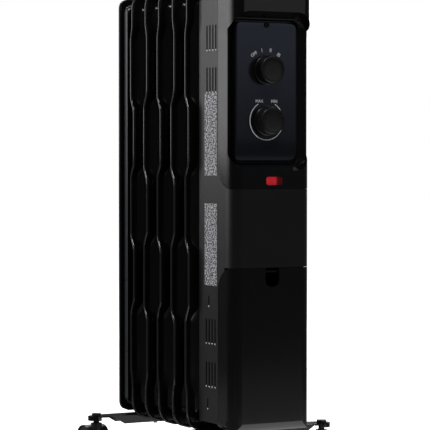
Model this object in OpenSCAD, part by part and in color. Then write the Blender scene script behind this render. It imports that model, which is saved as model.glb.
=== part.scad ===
// Oil filled radiator heater: seven pressed steel fins on two oil headers, a sheet steel housing
// with a moulded control head and a hinged cord lid, on two brackets with four twin-wheel casters.
// +Z is up, the control face looks toward -Y, and the origin is on the floor under the middle.

/* [Fins] */
// Distance between neighbouring fins
fin_pitch = 39; // [38:0.5:41]
// Position of the rearmost fin
fin_rear_y = 145; // [140:1:150]
// Width of a fin
fin_w = 140; // [136:1:150]
// Height of a fin
fin_h = 580; // [560:5:600]
// Height of the fins' lower edge above the floor
fin_z0 = 50; // [50:1:54]
// Sideways swing of the wavy edge
wave_amp = 4.3; // [2:0.1:4.5]
// Thickness of the edge flange, two sheets together
flange_t = 1.4; // [1.2:0.1:2]

/* [Housing] */
// Half width of the housing
house_x = 58.3; // [57:0.1:59]
// Front plane of the housing
house_front = -150; // [-150:1:-148]
// Rear edge of the housing's side sheets
house_rear = -63.5; // [-65:0.5:-62]
// Lower edge of the side sheets
house_z0 = 66.5; // [65:0.5:68]
// Top of the side sheets and of the control moulding
house_z1 = 606; // [600:1:610]
// Top of the whole heater
cap_z1 = 640; // [638:1:646]
// Radius of the housing's upright corners
corner_r = 16; // [14:1:18]
// Thickness of the side sheet
sheet_t = 1.2; // [0.8:0.1:1.5]
// Thickness of the plastic walls
wall = 2.4; // [2:0.1:2.8]
// Side edge of the control moulding and of the lid
seam_y = -113; // [-114:0.5:-112.5]
// Lower edge of the control moulding
mould_z0 = 365.5; // [360:0.5:370]

/* [Controls] */
// Face of the dial panel
dial_y = -135; // [-136:0.5:-134.5]
// Front of the lip round the dial panel
lip_y = -137; // [-138:0.5:-136.5]
// Height of the power selector's axis
selector_z = 516; // [510:1:520]
// Height of the thermostat's axis
thermostat_z = 451.5; // [446:0.5:456]
// Radius of a knob at its base
knob_r = 19; // [17:0.5:20]
// Radius of a knob at its face
knob_face_r = 17.3; // [16:0.1:17.6]
// Height of a knob
knob_h = 16.4; // [14:0.1:17]

/* [Cord lid] */
// Upper edge of the lid
lid_z1 = 265.5; // [262:0.5:268]
// Radius of the lid's lower roll
lid_roll_r = 14; // [12:0.5:16]
// Radius of the lid's and the moulding's big side corners
side_corner_r = 32; // [26:1:34]

/* [Brackets and casters] */
// Position of the front bracket
front_bracket_y = -82; // [-84:1:-80]
// Position of the rear bracket
rear_bracket_y = 123; // [122:0.5:123.5]
// Distance of a caster's stem from the middle
stem_x = 115.4; // [112:0.2:118]
// Width of a bracket
bracket_w = 31; // [28:1:32]
// Radius of a caster's wheel
wheel_r = 20; // [18:0.5:20]
// Distance from a caster's stem to its axle
trail = 10; // [9:0.5:10.5]

/* [Hidden] */
$fn = 64;
fin_count = 7;
fin_mid_z = fin_z0 + fin_h / 2;
header_drop = 45;
low_header_z = fin_z0 + header_drop;
top_header_z = fin_z0 + fin_h - header_drop;
channel_r = 7;
channel_wall = 0.8;
header_half = 8;
header_bore_r = 18;
collar_r = 20;
end_fin_half = 50;
rear_fin_inset = 7.5;
wave_rise = 24;
wave_steps = 6;
plate_y = -103.6;
plate_t = 1.2;
gap = 0.4;
run = 0.05;
lid_axis_y = house_front + lid_roll_r;
lid_z0 = 55.5;
lid_end_r = 11;
lid_axis_z = lid_z0 + lid_roll_r;
lid_wall = 2;
brow_y = -156;
brow_z = 587;
pocket_front = -160;
pocket_x = 62;
pocket_z0 = 384;
pocket_z1 = 590;
pocket_r = 30;
panel_x = 45.5;
screw_z = 573;
lamp_x = 3.2;
lamp_half = 12;
lamp_z0 = 370.4;
lamp_z1 = 380.4;
lens_lip = 2;
panel_z0 = 399;
panel_z1 = 577;
panel_t = 5.6;
bracket_top = 55.6;
bracket_tip_r = 11.4;
bracket_drop = 11;
hinge_pin_r = 2.5;
bracket_t = 1.6;
shaft_r = 3;
axle_r = 3;
stem_r = 4;
axle_z = wheel_r;
hood_r = wheel_r + 3;
hood_half = 15;
slot_w = 3;
slot_pitch = 7.7;
bay_x = 52;
bay_y0 = -147;
bay_y1 = -116;
bay_z0 = 102;
bay_z1 = 262;
gland_x = 32;
gland_y = -106;
gland_bore_r = 3.6;
plate_z0 = 84;
plate_z1 = 590;
plate_screw_x = 18.7;
bolt_x = 24;
bolt_r = 2.5;
front_bolt_y = -76;
element_leg_x = 8;
element_leg_z = 7;
element_r = 3.5;
CASTERS = ["fl", "fr", "rl", "rr"];

// Position of fin k, counted from the rear
function fin_y(k) = fin_rear_y - (k - 1) * fin_pitch;

rear_bolt_y = fin_y(1.5);
// Smooth step from 0 to 1 over the rise of one wave
function ease(t) = t <= 0 ? 0 : t >= 1 ? 1 : t * t * (3 - 2 * t);
// Heights, from the fin's middle, where the edge of fin k crosses over
function wave_turns(k) = k % 2 == 0 ? [49.3, 136, 232.5] : [42.3, 142.8, 235];
// Offset of the edge of fin k at height z from the fin's middle
function wave_at(k, z) =
    let (turns = wave_turns(k), side = k % 2 == 0 ? 1 : -1)
    side * wave_amp * (1 - 2 * ease((abs(z) - turns[0]) / wave_rise + 0.5)
        + 2 * ease((abs(z) - turns[1]) / wave_rise + 0.5)
        - ease((abs(z) - turns[2]) / wave_rise + 0.5));
// Heights at which the edge of fin k is drawn, from bottom to top
function wave_heights(k) =
    let (turns = wave_turns(k), both = [-turns[2], -turns[1], -turns[0], turns[0], turns[1], turns[2]])
    concat([-fin_h / 2],
        [for (t = both) for (i = [0 : wave_steps]) t + wave_rise * (i / wave_steps - 0.5)],
        [fin_h / 2]);

// Draws a shape given in Y and Z and extrudes it along X, centred
module along_x(length) {
    rotate([90, 0, 90]) linear_extrude(length, center = true) children();
}

// Draws a shape given in X and Z and extrudes it from y0 to y1
module along_y(y0, y1) {
    translate([0, y1, 0]) rotate([90, 0, 0]) linear_extrude(y1 - y0) children();
}

// Rounded rectangle from corner to corner with true arcs
module round_rect(x0, z0, x1, z1, r) {
    translate([x0 + r, z0]) square([x1 - x0 - 2 * r, z1 - z0]);
    translate([x0, z0 + r]) square([x1 - x0, z1 - z0 - 2 * r]);
    for (x = [x0 + r, x1 - r]) for (z = [z0 + r, z1 - r]) translate([x, z]) circle(r);
}

// Block between two corners
module block(a, b) {
    translate(a) cube(b - a);
}

// Cylinder along Y from y0 to y1
module rod_y(x, z, r, y0, y1) {
    translate([x, y1, z]) rotate([90, 0, 0]) cylinder(h = y1 - y0, r = r);
}

// Cylinder along X from x0 to x1
module rod_x(y, z, r, x0, x1) {
    translate([x0, y, z]) rotate([0, 90, 0]) cylinder(h = x1 - x0, r = r);
}

// Plan of the housing: square at the rear, rounded at the front
module house_plan(half, front, rear, r) {
    translate([-half, front + r]) square([2 * half, rear - front - r]);
    translate([-half + r, front]) square([2 * (half - r), r + 1]);
    for (x = [-half + r, half - r]) translate([x, front + r]) circle(r);
}

// Upright prism of the housing's plan
module house_prism(half, front, rear, r, z0, z1) {
    translate([0, 0, z0]) linear_extrude(z1 - z0) house_plan(half, front, rear, r);
}

// Wavy edge band of fin k over its whole width
module wave_band(k, width) {
    heights = wave_heights(k);
    front = [for (z = heights) [fin_y(k) + wave_at(k, z) - flange_t / 2, fin_mid_z + z]];
    back = [for (i = [len(heights) - 1 : -1 : 0])
        [fin_y(k) + wave_at(k, heights[i]) + flange_t / 2, fin_mid_z + heights[i]]];
    along_x(width) polygon(concat(front, back));
}

// Outline of a fin's edge
module fin_outline(half, z0, z1, r) {
    round_rect(-half, z0, half, z1, r);
}

// Upright channels and the two header boxes of a fin, drawn solid and grown by skin
module fin_channels(y, half, skin) {
    outer = half - 22;
    for (x = [-outer, -outer / 3, outer / 3, outer])
        translate([x, y, low_header_z]) cylinder(h = top_header_z - low_header_z, r = channel_r + skin);
    for (z = [low_header_z, top_header_z])
        along_y(y - header_half - skin, y + header_half + skin)
            round_rect(-outer - 9 - skin, z - 27 - skin, outer + 9 + skin, z + 27 + skin, 20 + skin);
}

// Round holes through both walls of a fin at its headers
module header_bores(y0, y1) {
    for (z = [low_header_z, top_header_z]) rod_y(0, z, header_bore_r, y0, y1);
}

// One wavy fin
module wavy_fin(k) {
    y = fin_y(k);
    half = fin_w / 2;
    flat_half = half - 22;
    difference() {
        union() {
            intersection() {
                difference() {
                    wave_band(k, fin_w + 2);
                    block([-flat_half - 2, y - 9, 0], [flat_half + 2, y + 9, cap_z1]);
                }
                along_y(y - 9, y + 9) fin_outline(half, fin_z0, fin_z0 + fin_h, 24);
            }
            along_y(y - flange_t / 2, y + flange_t / 2)
                fin_outline(flat_half + 2.5, fin_z0, fin_z0 + fin_h, 4);
            fin_channels(y, half, 0);
        }
        fin_channels(y, half, -channel_wall);
        header_bores(y - 10, y + 10);
    }
}

// Flat-edged rear fin with a rolled bead inside its edge
module rear_fin() {
    y = fin_y(1);
    z0 = fin_z0 + rear_fin_inset;
    z1 = fin_z0 + fin_h - rear_fin_inset;
    half = fin_w / 2;
    difference() {
        union() {
            along_y(y - flange_t / 2, y + flange_t / 2) fin_outline(half, z0, z1, 14);
            along_y(y - 2.6, y - flange_t / 2 + 0.1) difference() {
                fin_outline(half - 11.6, z0 + 11.6, z1 - 11.6, 13);
                fin_outline(half - 13.8, z0 + 13.8, z1 - 13.8, 11);
            }
            fin_channels(y, half, 0);
        }
        fin_channels(y, half, -channel_wall);
        header_bores(y - 10, y);
    }
}

// Narrow flat fin inside the housing's rear
module end_fin() {
    y = fin_y(7);
    z0 = fin_z0 + rear_fin_inset;
    z1 = fin_z0 + fin_h - rear_fin_inset;
    difference() {
        union() {
            along_y(y - flange_t / 2, y + flange_t / 2) fin_outline(end_fin_half, z0, z1, 14);
            fin_channels(y, end_fin_half, 0);
        }
        fin_channels(y, end_fin_half, -channel_wall);
        header_bores(y - 10, y + 10);
    }
}

module fin_1() { color("#101010") rear_fin(); }
module fin_2() { color("#0e0e0e") wavy_fin(2); }
module fin_3() { color("#0e0e0e") wavy_fin(3); }
module fin_4() { color("#0e0e0e") wavy_fin(4); }
module fin_5() { color("#0e0e0e") wavy_fin(5); }
module fin_6() { color("#0e0e0e") wavy_fin(6); }
module fin_7() { color("#101010") end_fin(); }

// Rings that join the fins along one header
module collars(z) {
    for (k = [1 : fin_count - 1])
        difference() {
            rod_y(0, z, collar_r, fin_y(k + 1) + header_half, fin_y(k) - header_half);
            rod_y(0, z, header_bore_r, fin_y(k + 1), fin_y(k));
        }
}

module upper_collars() { color("#101010") collars(top_header_z); }
module lower_collars() { color("#101010") collars(low_header_z); }

// Hairpin heating element: two straight legs and a bend at the rear
module element(x) {
    bend_y = fin_y(1) - 12;
    for (s = [-1, 1])
        rod_y(x, low_header_z + s * element_leg_z, element_r, plate_y - 9, bend_y);
    translate([x, bend_y, low_header_z]) rotate([90, 0, 90])
        rotate([0, 0, -90]) rotate_extrude(angle = 180) translate([element_leg_z, 0]) circle(element_r);
}

module element_low() { color("#8a8a86") element(-element_leg_x); }
module element_high() { color("#8a8a86") element(element_leg_x); }

// Disc that closes the lower header and carries both elements
module element_flange() {
    y1 = fin_y(7) - header_half;
    color("#b0b0ac") difference() {
        rod_y(0, low_header_z, 24, y1 - 5, y1);
        for (x = [-element_leg_x, element_leg_x]) for (s = [-1, 1])
            rod_y(x, low_header_z + s * element_leg_z, element_r + run, y1 - 6, y1 + 1);
    }
}

// Plug that closes the upper header after filling
module filler_plug() {
    y1 = fin_y(7) - header_half;
    color("#b0b0ac") {
        rod_y(0, top_header_z, header_bore_r + 4, y1 - 2.5, y1);
        translate([0, y1 - 2.4, top_header_z]) rotate([90, 0, 0]) cylinder(h = 3, r = 7, $fn = 6);
    }
}

// Steel plate with side flanges that carries the housing and the controls
module back_plate() {
    x = house_x - sheet_t - 0.3;
    color("#9a9a9a") difference() {
        union() {
            block([-x, plate_y, plate_z0], [x, plate_y + plate_t, plate_z1]);
            for (s = [-1, 1])
                block([s * (x - plate_t / 2) - plate_t / 2, plate_y, plate_z0],
                    [s * (x - plate_t / 2) + plate_t / 2, plate_y + 12, plate_z1]);
        }
        rod_y(0, low_header_z, 26, plate_y - 3, plate_y + 3);
        for (z = [150 : 20 : 350]) for (x = [-30, 0, 30])
            along_y(plate_y - 3, plate_y + 3) round_rect(x - 10, z, x + 10, z + 5, 2.4);
        for (x = [-plate_screw_x, plate_screw_x]) for (z = [140, 400])
            rod_y(x, z, 2.2, plate_y - 3, plate_y + 3);
    }
}

// Screws that hold the plate to the front fin
module plate_screws() {
    color("#b8b8b4") for (x = [-plate_screw_x, plate_screw_x]) for (z = [140, 400]) {
        rod_y(x, z, 4, plate_y - 2.4, plate_y - 0.2);
        rod_y(x, z, 1.9, plate_y - 0.3, fin_y(7) - flange_t / 2);
    }
}

// Side view of the moulding's cut: its rear lower corner is a big arc
module mould_profile(grow) {
    r = side_corner_r + grow;
    arc_y = seam_y - side_corner_r;
    arc_z = mould_z0 + side_corner_r;
    translate([-180, arc_z]) square([seam_y + grow + 180, 300]);
    translate([-180, mould_z0 - grow]) square([arc_y + 180, side_corner_r + 1]);
    translate([arc_y, arc_z]) circle(r);
}

// Side view of the lid: rolled at the bottom, a big arc at the rear upper corner
module lid_profile(grow) {
    r = side_corner_r + grow;
    arc_y = seam_y - side_corner_r;
    arc_z = lid_z1 - side_corner_r;
    translate([house_front - grow, lid_axis_z]) square([seam_y - house_front + 2 * grow, arc_z - lid_axis_z]);
    translate([house_front - grow, arc_z - 1]) square([arc_y - house_front + grow, side_corner_r + 1 + grow]);
    intersection() {
        translate([arc_y, arc_z]) circle(r);
        translate([arc_y - 1, arc_z - 1]) square(r + 2);
    }
    translate([lid_axis_y, lid_axis_z]) circle(lid_roll_r + grow);
}

// Cooling slots in one side of the shell
module side_slots() {
    for (g = [[-84.4, 542], [-84.4, 488.5], [-82.4, 168.5], [-82.4, 113.2]])
        for (i = [0 : 3])
            along_x(2 * house_x + 8)
                round_rect(g[0] - i * slot_pitch - slot_w / 2, g[1],
                    g[0] - i * slot_pitch + slot_w / 2, g[1] + 31.2, 1.4);
    for (g = [[-89.2, 216], [-86.2, 84.5]])
        along_x(2 * house_x + 8) round_rect(g[0] - 1.2, g[1], g[0] + 1.2, g[1] + 12.8, 1.1);
}

// Folded steel wrap: both sides and the panel between the moulding and the lid
module side_shell() {
    color("#3c3c3e") difference() {
        house_prism(house_x, house_front, house_rear, corner_r, house_z0, house_z1);
        house_prism(house_x - sheet_t, house_front + sheet_t, house_rear + 1, corner_r - sheet_t,
            house_z0 - 1, house_z1 + 1);
        along_x(2 * house_x + 8) mould_profile(gap);
        along_x(2 * house_x + 8) lid_cut();
        side_slots();
    }
}

// Side view of the room that the lid needs
module lid_cut() {
    lid_profile(gap);
    translate([house_front - 20, 40]) square([40, lid_z1 + gap - 40]);
}

// Floor of the housing behind the lid
module base_plate() {
    x = house_x - sheet_t - 0.1;
    color("#2c2c2e") difference() {
        block([-x, -120.5, house_z0], [x, house_rear - 0.5, house_z0 + 1.5]);
        translate([gland_x, gland_y, house_z0 - 1]) cylinder(h = 4, r = 6);
        for (s = [-1, 1]) rod_z(s * bolt_x, front_bolt_y, bolt_r + 0.7, house_z0 - 1, house_z0 + 3);
        // slit that the front fin's lower edge hangs through
        block([-end_fin_half - 0.6, fin_y(7) - 1.4, house_z0 - 1],
            [end_fin_half + 0.6, fin_y(7) + 1.4, house_z0 + 3]);
        for (x = [-40, -18, 4]) translate([0, 0, house_z0 - 1]) linear_extrude(4)
            round_rect(x - 9, -101, x + 9, -97.5, 1.5);
    }
}

// Bush that leads the supply cord out through the floor of the housing
module cord_gland() {
    color("#181818") difference() {
        union() {
            translate([gland_x, gland_y, house_z0 - 5]) cylinder(h = 5, r = 8);
            translate([gland_x, gland_y, house_z0 - 0.1]) cylinder(h = 12, r = 5.9);
            translate([gland_x, gland_y, house_z0 + 1.6]) cylinder(h = 4, r = 7.6);
        }
        translate([gland_x, gland_y, house_z0 - 6]) cylinder(h = 24, r = gland_bore_r);
    }
}

// Two thin rating plates on the left side
module side_labels() {
    color("#b9b2b4") for (z = [242, 382])
        block([-house_x - 0.25, -110.3, z], [-house_x, -78.4, z + 104.5]);
}

// Control moulding: lamp strip, recessed frame and brow
module control_moulding() {
    lip_x = house_x - 1.2;
    color("#141416") difference() {
        intersection() {
            union() {
                house_prism(house_x, house_front - 0.1, seam_y, corner_r, mould_z0 - 1, house_z1);
                house_prism(house_x, brow_y, seam_y, corner_r, brow_z - 28, house_z1);
            }
            along_x(2 * house_x + 8) mould_profile(0);
        }
        difference() {
            house_prism(house_x - wall, house_front + wall, seam_y + 1, corner_r - wall,
                mould_z0 - 2, house_z1 + 1);
            block([-house_x, house_front + 1, pocket_z0 - 4],
                [house_x, dial_y + panel_t + 2.4, brow_z + 6]);
        }
        // wide pocket that leaves a brow above and a lip on each side
        hull() {
            along_y(pocket_front, pocket_front + 0.2)
                round_rect(-pocket_x, pocket_z0, pocket_x, pocket_z1, pocket_r, $fn = 48);
            along_y(lip_y - 0.2, lip_y)
                round_rect(-house_x - 0.4, panel_z0 - 4.5, house_x + 0.4, panel_z1 + 3.8, 18, $fn = 48);
        }
        // bevelled seat round the dial panel
        hull() {
            along_y(lip_y - 0.3, lip_y)
                round_rect(-lip_x, panel_z0 - 3.5, lip_x, panel_z1 + 2.8, 16, $fn = 32);
            along_y(dial_y + panel_t - 0.2, dial_y + panel_t)
                round_rect(-panel_x - 1, panel_z0 - 1, panel_x + 1, panel_z1 + 1, 9, $fn = 32);
        }
        along_y(dial_y, dial_y + 12) round_rect(-38, panel_z0 + 8, 38, panel_z1 - 10, 6);
        rod_y(0, screw_z, 2, dial_y, dial_y + 12);
        // lamp window
        along_y(house_front - 1, house_front + wall + 1)
            round_rect(lamp_x - lamp_half - 0.3, lamp_z0 - 0.3, lamp_x + lamp_half + 0.3, lamp_z1 + 0.3, 3.3);
        // room behind the window for the rim of the lens
        along_y(house_front + wall, dial_y + 12)
            round_rect(lamp_x - lamp_half - lens_lip - 0.3, lamp_z0 - lens_lip - 0.3,
                lamp_x + lamp_half + lens_lip + 0.3, lamp_z1 + lens_lip + 0.3, 2.3);
    }
}

// Cap with the recessed carrying grip
module top_cap() {
    x = house_x;
    color("#121214") difference() {
        union() {
            difference() {
                intersection() {
                    house_prism(x, brow_y, house_rear, corner_r, house_z1 + gap, cap_z1);
                    along_x(2 * x + 8) round_rect(brow_y - 0.1, house_z1 - 30, house_rear, cap_z1, 12);
                    along_y(brow_y - 4, house_rear + 4) round_rect(-x - 0.1, house_z1 - 30, x + 0.1, cap_z1, 10);
                }
                house_prism(x - wall, brow_y + wall, house_rear - wall, corner_r - wall,
                    house_z1, cap_z1 - wall - 3);
            }
            block([-46, -140, 602], [46, -100, cap_z1 - 4]);
        }
        translate([0, 0, 604.4]) linear_extrude(60) round_rect(-43.6, -137.6, 43.6, -102.4, 8);
    }
}

// Raised panel that carries the dials
module dial_panel() {
    color("#1c1c1f") difference() {
        along_y(dial_y, dial_y + panel_t) round_rect(-panel_x, panel_z0, panel_x, panel_z1, 8);
        for (z = [selector_z, thermostat_z]) rod_y(0, z, 6, dial_y - 1, dial_y + panel_t + 1);
        rod_y(0, screw_z, 1.95, dial_y - 1, dial_y + panel_t + 1);
    }
}

// Printed marks round both dials
module dial_marks() {
    t = 0.15;
    color("#e8e8e8") {
        for (a = [-42, -14, 14, 42]) rotate_about(0, selector_z, a)
            block([-0.8, dial_y - t, selector_z + 24], [0.8, dial_y, selector_z + 28.5]);
        intersection() {
            difference() {
                rod_y(0, thermostat_z, 24.9, dial_y - t, dial_y);
                rod_y(0, thermostat_z, 24.1, dial_y - 1, dial_y + 1);
            }
            difference() {
                block([-30, dial_y - 1, thermostat_z - 30], [30, dial_y + 1, thermostat_z + 30]);
                block([-9, dial_y - 2, thermostat_z], [9, dial_y + 2, thermostat_z + 31]);
            }
        }
        for (a = [-24, 24]) rotate_about(0, thermostat_z, a)
            block([-2.6, dial_y - t, thermostat_z + 26.5], [2.6, dial_y, thermostat_z + 29.5]);
    }
}

// Turns its children about a line along Y, clockwise as seen from the front
module rotate_about(x, z, angle) {
    translate([x, 0, z]) rotate([0, angle, 0]) translate([-x, 0, -z]) children();
}

// Screw at the top of the dial panel
module panel_screw() {
    color("#202022") difference() {
        union() {
            rod_y(0, screw_z, 3.6, dial_y - 1.2, dial_y);
            rod_y(0, screw_z, 1.85, dial_y - 0.1, dial_y + 12);
        }
        for (a = [0, 90]) rotate_about(0, screw_z, a)
            block([-0.5, dial_y - 2, screw_z - 2], [0.5, dial_y - 0.5, screw_z + 2]);
    }
}

// Fluted red lens of the power lamp
module lamp_lens() {
    x0 = lamp_x - lamp_half;
    x1 = lamp_x + lamp_half;
    color("#c01818") difference() {
        union() {
            along_y(house_front + 0.6, house_front + 5) round_rect(x0, lamp_z0, x1, lamp_z1, 3);
            along_y(house_front + 2.5, house_front + 5) round_rect(x0 - lens_lip, lamp_z0 - lens_lip,
                x1 + lens_lip, lamp_z1 + lens_lip, 2);
        }
        for (i = [1 : 9]) rod_z(x0 + i * lamp_half / 5, house_front + 0.4, 0.6, lamp_z0 - 3, lamp_z1 + 3);
    }
}

// Cylinder along Z from z0 to z1
module rod_z(x, y, r, z0, z1) {
    translate([x, y, z0]) cylinder(h = z1 - z0, r = r);
}

// Neon lamp and its resistor sleeve behind the lens
module neon_lamp() {
    color("#c9a48a") {
        rod_x(house_front + 9, 375.4, 3, lamp_x - 8, lamp_x + 8);
        rod_x(house_front + 9, 375.4, 1.6, lamp_x - 16, lamp_x - 7.9);
    }
}

// Rotary power selector with its bush
module selector_switch() {
    color("#d8d4c8") difference() {
        union() {
            block([-17, plate_y - 17, selector_z - 14], [17, plate_y - 0.1, selector_z + 14]);
            rod_y(0, selector_z, 5.5, dial_y + 6.5, plate_y - 16.9);
        }
        rod_y(0, selector_z, shaft_r + run, dial_y + 5, plate_y - 10);
    }
}

// Capillary thermostat with its bush
module thermostat() {
    color("#b8b8bc") difference() {
        union() {
            block([-19, plate_y - 15, thermostat_z - 17], [19, plate_y - 0.1, thermostat_z + 17]);
            rod_y(0, thermostat_z, 5.5, dial_y + 6.5, plate_y - 14.9);
        }
        rod_y(0, thermostat_z, shaft_r + run, dial_y + 5, plate_y - 10);
    }
}

// Button thermal cut-out on the back plate
module thermal_cutout() {
    color("#b8a070") {
        rod_y(-30, 320, 8, plate_y - 8, plate_y - 0.1);
        block([-42, plate_y - 1.2, 315], [-18, plate_y - 0.1, 325]);
    }
}

// Sealed tip-over switch
module tip_switch() {
    color("#222226") block([-50, plate_y - 11, 275], [-28, plate_y - 0.1, 303]);
}

// Terminal block for the supply wires
module terminal_block() {
    color("#e6e2d6") difference() {
        block([8, plate_y - 14, 280], [46, plate_y - 0.1, 300]);
        for (x = [14, 24, 34]) rod_y(x + 3, 290, 2, plate_y - 15, plate_y - 9);
    }
}

// Round knob with a raised face edge; its pointer stands at the given angle
module knob(z, pointer) {
    y0 = dial_y - 0.6;
    face_y = y0 - knob_h;
    difference() {
        union() {
            translate([0, y0, z]) rotate([90, 0, 0]) cylinder(h = 3, r = knob_r);
            translate([0, y0 - 3, z]) rotate([90, 0, 0])
                cylinder(h = knob_h - 3, r1 = knob_r - 1, r2 = knob_face_r);
            rotate_about(0, z, pointer)
                along_y(face_y - 0.8, face_y + 1) polygon([[-1.6, z + 10.5], [1.6, z + 10.5], [0, z + 14.5]]);
        }
        translate([0, y0 + 0.1, z]) rotate([90, 0, 0]) cylinder(h = knob_h - 3, r = 13);
        rod_y(0, z, 14.8, face_y - 1, face_y + 0.5);
    }
    difference() {
        rod_y(0, z, 5.5, face_y + 1.5, y0 - 1);
        rod_y(0, z, shaft_r, y0 - 12, y0);
    }
}

module selector_knob() { color("#161618") knob(selector_z, -42); }
module thermostat_knob() { color("#161618") knob(thermostat_z, 60); }

// Knob shaft from inside the switch to inside the knob
module shaft(z, y1) {
    rod_y(0, z, shaft_r, dial_y - 12.4, y1);
}

module selector_shaft() { color("#c8c8c4") shaft(selector_z, plate_y - 11); }
module thermostat_shaft() { color("#c8c8c4") shaft(thermostat_z, plate_y - 11); }

// Tray for the wound cord, with the lid's hinge ears
module cord_bay() {
    color("#161616") difference() {
        union() {
            house_prism(bay_x, bay_y0, bay_y1, corner_r - 3, bay_z0, bay_z1);
            for (s = [-1, 1]) {
                translate([s * 51, 0, 0]) rod_x(lid_axis_y, lid_axis_z, 6, -2.5, 2.5);
                translate([s * 51, lid_axis_y, (lid_axis_z + bay_z0 + 1) / 2])
                    cube([5, 11, bay_z0 + 1 - lid_axis_z], center = true);
            }
        }
        block([-bay_x + wall, bay_y0 - 1, bay_z0 + wall], [bay_x - wall, bay_y1 - wall, bay_z1 - wall]);
        rod_x(lid_axis_y, lid_axis_z, hinge_pin_r, -house_x, house_x);
        rod_y(gland_x, bay_z0 + 30, 6, bay_y1 - wall - 1, bay_y1 + 1);
    }
}

// Pins that the lid turns on
module hinge_pins() {
    color("#b8b8b4") for (s = [-1, 1])
        rod_x(lid_axis_y, lid_axis_z, hinge_pin_r,
            s > 0 ? 48.6 : -house_x + 0.3, s > 0 ? house_x - 0.3 : -48.6);
}

// Hinged lid over the cord tray
module storage_lid() {
    x = house_x;
    color("#161618") difference() {
        intersection() {
            along_x(2 * x + 8) lid_profile(0);
            house_prism(x, house_front - 0.1, -60, corner_r, 40, 300);
            along_y(house_front - 2, -60) round_rect(-x - 0.1, lid_z0 - 0.1, x + 0.1, 300, lid_end_r);
        }
        intersection() {
            along_x(2 * x + 8) {
                translate([house_front + lid_wall, lid_axis_z]) square([80, 300]);
                translate([lid_axis_y, 40]) square([80, 300]);
                translate([lid_axis_y, lid_axis_z]) circle(lid_roll_r - lid_wall);
            }
            house_prism(x - lid_wall, house_front + lid_wall - 0.1, -50, corner_r - lid_wall, 40, 300);
        }
        along_y(house_front - 2, house_front + 6) round_rect(-10, lid_z1 - 24, 10, lid_z1 + 30, 9);
        for (s = [-1, 1]) translate([s * x, 0, 0]) rod_x(lid_axis_y, lid_axis_z, hinge_pin_r + run, -8, 8);
    }
}

// Pressed channel bracket across the underside
module bracket(y, bolt_y) {
    half = bracket_w / 2;
    difference() {
        union() {
            translate([0, y, bracket_top - bracket_t]) linear_extrude(bracket_t) {
                polygon([[-98, -half], [98, -half], [stem_x, -bracket_tip_r], [stem_x, bracket_tip_r],
                    [98, half], [-98, half], [-stem_x, bracket_tip_r], [-stem_x, -bracket_tip_r]]);
                for (s = [-1, 1]) translate([s * stem_x, 0]) circle(bracket_tip_r);
            }
            for (s = [-1, 1]) along_y(y + s * (half - 0.8) - 0.8, y + s * (half - 0.8) + 0.8)
                polygon([[-98, bracket_top - 0.1], [98, bracket_top - 0.1],
                    [80, bracket_top - bracket_drop], [-80, bracket_top - bracket_drop]]);
            for (s = [-1, 1]) difference() {
                rod_z(s * stem_x, y, bracket_tip_r, bracket_top - 6, bracket_top - 0.1);
                rod_z(s * stem_x, y, bracket_tip_r - bracket_t, bracket_top - 7, bracket_top - bracket_t);
                block([s * (stem_x - 12) - 9, y - 20, bracket_top - 7],
                    [s * (stem_x - 12) + 9, y + 20, bracket_top - bracket_t]);
            }
        }
        for (s = [-1, 1]) rod_z(s * stem_x, y, stem_r + 0.2, 40, 60);
        for (s = [-1, 1]) rod_z(s * bolt_x, bolt_y, bolt_r + 0.3, 30, 60);
    }
}

module front_bracket() { color("#101010") bracket(front_bracket_y, front_bolt_y); }
module rear_bracket() { color("#101010") bracket(rear_bracket_y, rear_bolt_y); }

// One U-bolt over the lower header
module u_bolt(y) {
    translate([0, y, low_header_z]) rotate([90, 0, 0])
        rotate_extrude(angle = 180) translate([bolt_x, 0]) circle(bolt_r);
    for (s = [-1, 1]) rod_z(s * bolt_x, y, bolt_r, bracket_top - 15, low_header_z);
}

module u_bolts() {
    color("#b8b8b4") for (y = [rear_bolt_y, front_bolt_y]) u_bolt(y);
}

// Wing nuts under the brackets
module wing_nuts() {
    color("#b8b8b4") for (y = [rear_bolt_y, front_bolt_y]) for (s = [-1, 1]) difference() {
        union() {
            rod_z(s * bolt_x, y, 5, bracket_top - 8.1, bracket_top - 1.7);
            block([s * bolt_x - 11, y - 1, bracket_top - 11], [s * bolt_x + 11, y + 1, bracket_top - 3.6]);
        }
        rod_z(s * bolt_x, y, bolt_r, 30, 60);
    }
}

// Position of one caster's stem
function caster_x(c) = c[1] == "l" ? -stem_x : stem_x;
function caster_y(c) = c[0] == "f" ? front_bracket_y : rear_bracket_y;

module caster_stems() {
    color("#c0c0bc") for (c = CASTERS) {
        rod_z(caster_x(c), caster_y(c), stem_r, 39, bracket_top + 2.6);
        rod_z(caster_x(c), caster_y(c), 6.5, bracket_top - 3, bracket_top - 1.7);
    }
}

module stem_nuts() {
    color("#161616") for (c = CASTERS) difference() {
        rod_z(caster_x(c), caster_y(c), 6.2, bracket_top + 0.1, bracket_top + 3.6);
        rod_z(caster_x(c), caster_y(c), stem_r, 40, bracket_top + 2.6);
    }
}

// Swivelling hood of one caster
module hood(c) {
    x = caster_x(c);
    y = caster_y(c);
    ay = y + trail;
    color("#141414") difference() {
        union() {
            difference() {
                rod_x(ay, axle_z, hood_r, x - hood_half, x + hood_half);
                rod_x(ay, axle_z, hood_r - 2, x - 16, x + 16);
                block([x - 20, ay - 30, -10], [x + 20, ay + 30, axle_z + 1]);
            }
            rod_x(ay, axle_z, 8, x - 3, x + 3);
            block([x - 3, ay - 6, axle_z], [x + 3, ay + 6, axle_z + hood_r - 1]);
            difference() {
                rod_z(x, y, 7.5, 36, 46.2);
                rod_x(ay, axle_z, hood_r - 2, x - 16, x + 16);
            }
        }
        rod_z(x, y, stem_r + run, 38.4, 50);
        rod_x(ay, axle_z, axle_r + run, x - 5, x + 5);
    }
}

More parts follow.
